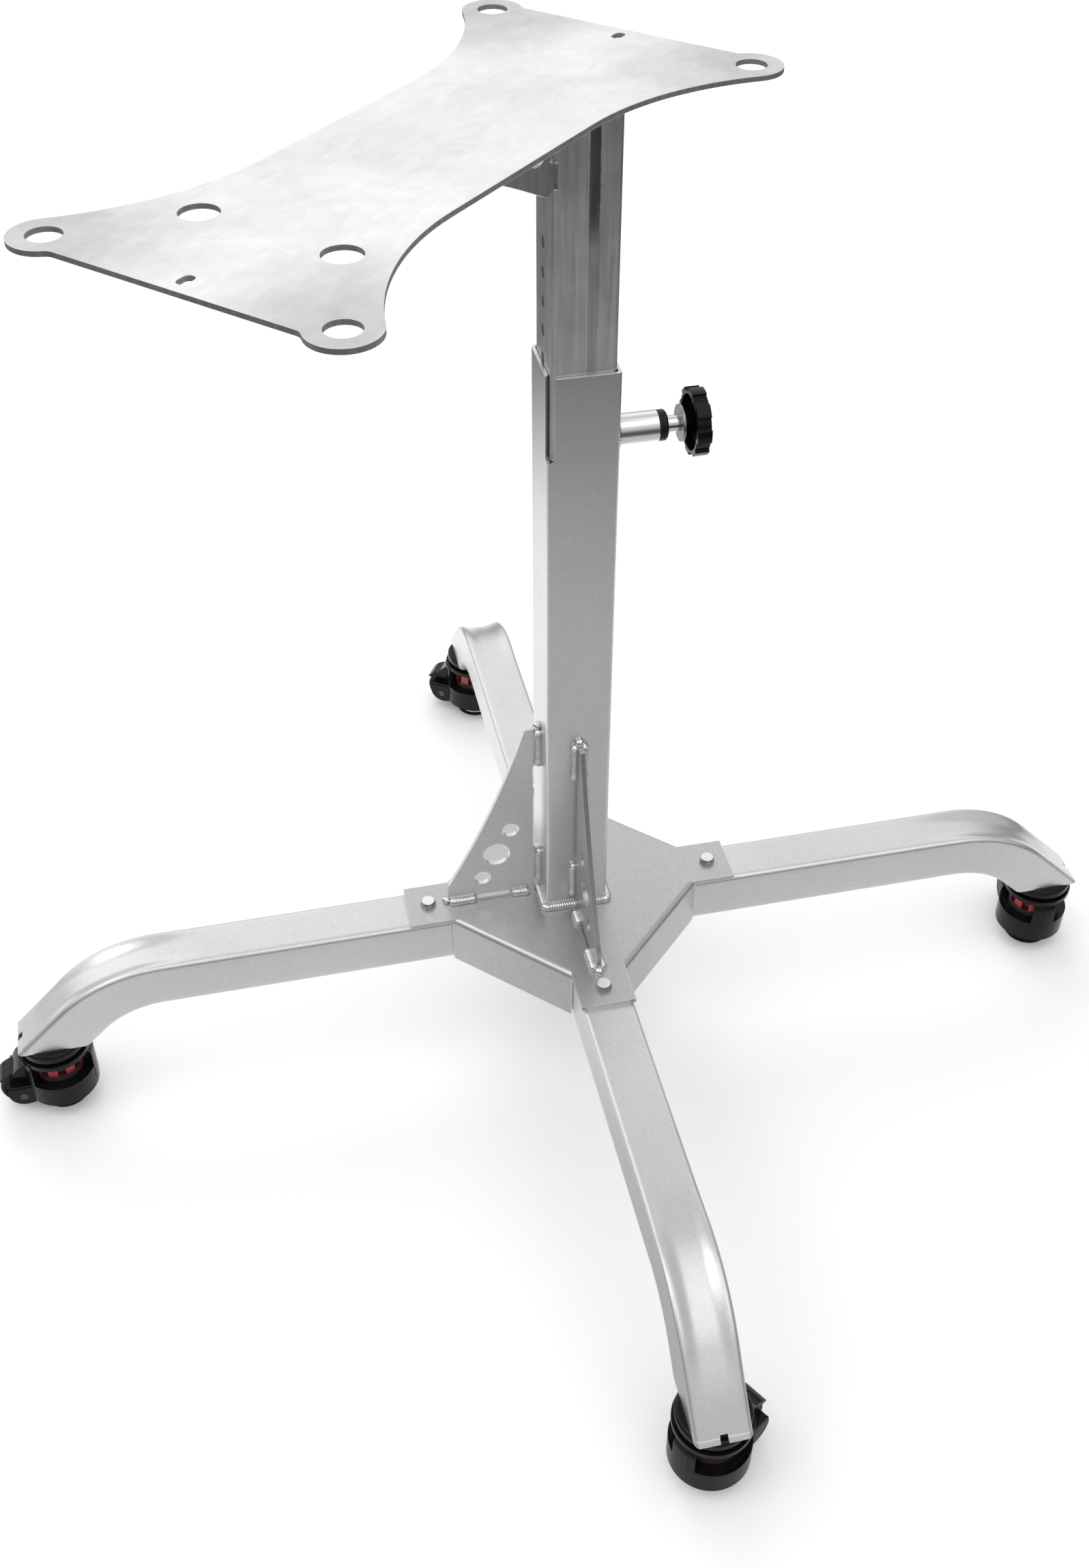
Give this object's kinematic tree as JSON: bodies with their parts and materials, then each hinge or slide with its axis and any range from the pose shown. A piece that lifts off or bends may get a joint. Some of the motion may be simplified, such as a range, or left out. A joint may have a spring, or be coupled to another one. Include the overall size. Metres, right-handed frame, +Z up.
{
  "type": "engine stand",
  "caption": "Height-adjustable stand: square telescoping column with index pin, drilled top plate and bent tube legs on swivel casters with levelling feet.",
  "frame": {"origin": "on the floor plane that the four levelling pads stand on, at the column's axis", "axes": "+Z up along the column; the top plate is long along Y with its overhang toward -Y; the four legs lie on the X/Y diagonals, and the index knob points along +X+Y"},
  "size_m": [0.8864, 0.9047, 1.0445],
  "materials": {
    "coated_steel": "satin silver-grey coating",
    "raw_steel": "bare mill steel, streaked",
    "weld_metal": "bright rippled weld",
    "plated_fasteners": "zinc plate",
    "bright_turned": "turned",
    "black_oxide": "black, semi-gloss",
    "polished_steel": "polished",
    "disc_grey": "satin",
    "black_knob": "gloss",
    "caster_black": "black enamel, semi-gloss",
    "wheel_black": "moulded nylon",
    "dial_red": "red with a grey core",
    "pad_rubber": "matt"
  },
  "bodies": {
    "base": {"hub_plate": "coated_steel", "outer_column": "coated_steel", "ledge_plate": "coated_steel", "base_gusset_front_left": "coated_steel", "base_gusset_front_right": "coated_steel", "base_weld_beads": "weld_metal", "leg_front_left": "coated_steel", "leg_front_right": "coated_steel", "leg_rear_left": "coated_steel", "leg_rear_right": "coated_steel", "leg_end_plates": "coated_steel", "leg_bolts": "plated_fasteners", "leg_washers": "plated_fasteners", "leg_nuts": "plated_fasteners", "plunger_boss": "bright_turned", "caster_caps": "caster_black", "caster_stems": "plated_fasteners", "caster_nuts": "plated_fasteners"},
    "head": {"inner_column": "raw_steel", "top_plate": "raw_steel", "plate_gusset": "raw_steel", "head_weld_beads": "weld_metal"},
    "pin_sleeve": {"plunger_sleeve": "black_oxide"},
    "pin": {"plunger_pin": "polished_steel", "plunger_spring": "polished_steel", "knob_disc": "disc_grey", "star_knob": "black_knob", "knob_cap": "black_knob"},
    "front_left_swivel": {"front_left_housing": "caster_black", "front_left_axle": "plated_fasteners"},
    "front_left_wheel_body": {"front_left_wheel": "wheel_black"},
    "front_left_dial_body": {"front_left_dial": "dial_red"},
    "front_left_foot_body": {"front_left_foot": "plated_fasteners", "front_left_pad": "pad_rubber"},
    "front_right_swivel": {"front_right_housing": "caster_black", "front_right_axle": "plated_fasteners"},
    "front_right_wheel_body": {"front_right_wheel": "wheel_black"},
    "front_right_dial_body": {"front_right_dial": "dial_red"},
    "front_right_foot_body": {"front_right_foot": "plated_fasteners", "front_right_pad": "pad_rubber"},
    "rear_right_swivel": {"rear_right_housing": "caster_black", "rear_right_axle": "plated_fasteners"},
    "rear_right_wheel_body": {"rear_right_wheel": "wheel_black"},
    "rear_right_dial_body": {"rear_right_dial": "dial_red"},
    "rear_right_foot_body": {"rear_right_foot": "plated_fasteners", "rear_right_pad": "pad_rubber"},
    "rear_left_swivel": {"rear_left_housing": "caster_black", "rear_left_axle": "plated_fasteners"},
    "rear_left_wheel_body": {"rear_left_wheel": "wheel_black"},
    "rear_left_dial_body": {"rear_left_dial": "dial_red"},
    "rear_left_foot_body": {"rear_left_foot": "plated_fasteners", "rear_left_pad": "pad_rubber"}
  },
  "joints": [
    {"name": "column_slide", "type": "slide", "parent": "base", "child": "head", "axis": [0, 0, 1], "range_m": [-0.175, 0.2]},
    {"name": "knob_turn", "type": "hinge", "parent": "base", "child": "pin_sleeve", "pos_m": [0, 0, 0.7301], "axis": [0.7071, 0.7071, 0], "range_deg": [0, 360]},
    {"name": "pin_pull", "type": "slide", "parent": "pin_sleeve", "child": "pin", "axis": [0.7071, 0.7071, 0], "range_m": [-0.011, 0.0015], "deforming": ["plunger_spring"]},
    {"name": "front_left_swivel_turn", "type": "hinge", "parent": "base", "child": "front_left_swivel", "pos_m": [-0.39124, -0.39124, 0.079], "axis": [0, 0, 1], "continuous": true},
    {"name": "front_left_wheel_spin", "type": "hinge", "parent": "front_left_swivel", "child": "front_left_wheel_body", "pos_m": [-0.41953, -0.41953, 0.0255], "axis": [0.7071, -0.7071, 0], "continuous": true},
    {"name": "front_left_dial_turn", "type": "hinge", "parent": "front_left_swivel", "child": "front_left_dial_body", "pos_m": [-0.39124, -0.39124, 0.056], "axis": [0, 0, 1], "range_deg": [-1152, 720]},
    {"name": "front_left_foot_lift", "type": "slide", "parent": "front_left_swivel", "child": "front_left_foot_body", "axis": [0, 0, 1], "range_m": [-0.008, 0.005]},
    {"name": "front_right_swivel_turn", "type": "hinge", "parent": "base", "child": "front_right_swivel", "pos_m": [0.39124, -0.39124, 0.079], "axis": [0, 0, 1], "continuous": true},
    {"name": "front_right_wheel_spin", "type": "hinge", "parent": "front_right_swivel", "child": "front_right_wheel_body", "pos_m": [0.40024, -0.35227, 0.0255], "axis": [-0.9744, 0.225, 0], "continuous": true},
    {"name": "front_right_dial_turn", "type": "hinge", "parent": "front_right_swivel", "child": "front_right_dial_body", "pos_m": [0.39124, -0.39124, 0.056], "axis": [0, 0, 1], "range_deg": [-1152, 720]},
    {"name": "front_right_foot_lift", "type": "slide", "parent": "front_right_swivel", "child": "front_right_foot_body", "axis": [0, 0, 1], "range_m": [-0.008, 0.005]},
    {"name": "rear_right_swivel_turn", "type": "hinge", "parent": "base", "child": "rear_right_swivel", "pos_m": [0.39124, 0.39124, 0.079], "axis": [0, 0, 1], "continuous": true},
    {"name": "rear_right_wheel_spin", "type": "hinge", "parent": "rear_right_swivel", "child": "rear_right_wheel_body", "pos_m": [0.36662, 0.42276, 0.0255], "axis": [-0.788, -0.6157, 0], "continuous": true},
    {"name": "rear_right_dial_turn", "type": "hinge", "parent": "rear_right_swivel", "child": "rear_right_dial_body", "pos_m": [0.39124, 0.39124, 0.056], "axis": [0, 0, 1], "range_deg": [-1152, 720]},
    {"name": "rear_right_foot_lift", "type": "slide", "parent": "rear_right_swivel", "child": "rear_right_foot_body", "axis": [0, 0, 1], "range_m": [-0.008, 0.005]},
    {"name": "rear_left_swivel_turn", "type": "hinge", "parent": "base", "child": "rear_left_swivel", "pos_m": [-0.39124, 0.39124, 0.079], "axis": [0, 0, 1], "continuous": true},
    {"name": "rear_left_wheel_spin", "type": "hinge", "parent": "rear_left_swivel", "child": "rear_left_wheel_body", "pos_m": [-0.43005, 0.38156, 0.0255], "axis": [0.2419, -0.9703, 0], "continuous": true},
    {"name": "rear_left_dial_turn", "type": "hinge", "parent": "rear_left_swivel", "child": "rear_left_dial_body", "pos_m": [-0.39124, 0.39124, 0.056], "axis": [0, 0, 1], "range_deg": [-1152, 720]},
    {"name": "rear_left_foot_lift", "type": "slide", "parent": "rear_left_swivel", "child": "rear_left_foot_body", "axis": [0, 0, 1], "range_m": [-0.008, 0.005]}
  ],
  "couplings": [
    {"joint": "front_left_foot_lift", "follows": "front_left_dial_turn", "m_per_rad": 0.00039789},
    {"joint": "front_right_foot_lift", "follows": "front_right_dial_turn", "m_per_rad": 0.00039789},
    {"joint": "rear_right_foot_lift", "follows": "rear_right_dial_turn", "m_per_rad": 0.00039789},
    {"joint": "rear_left_foot_lift", "follows": "rear_left_dial_turn", "m_per_rad": 0.00039789}
  ]
}
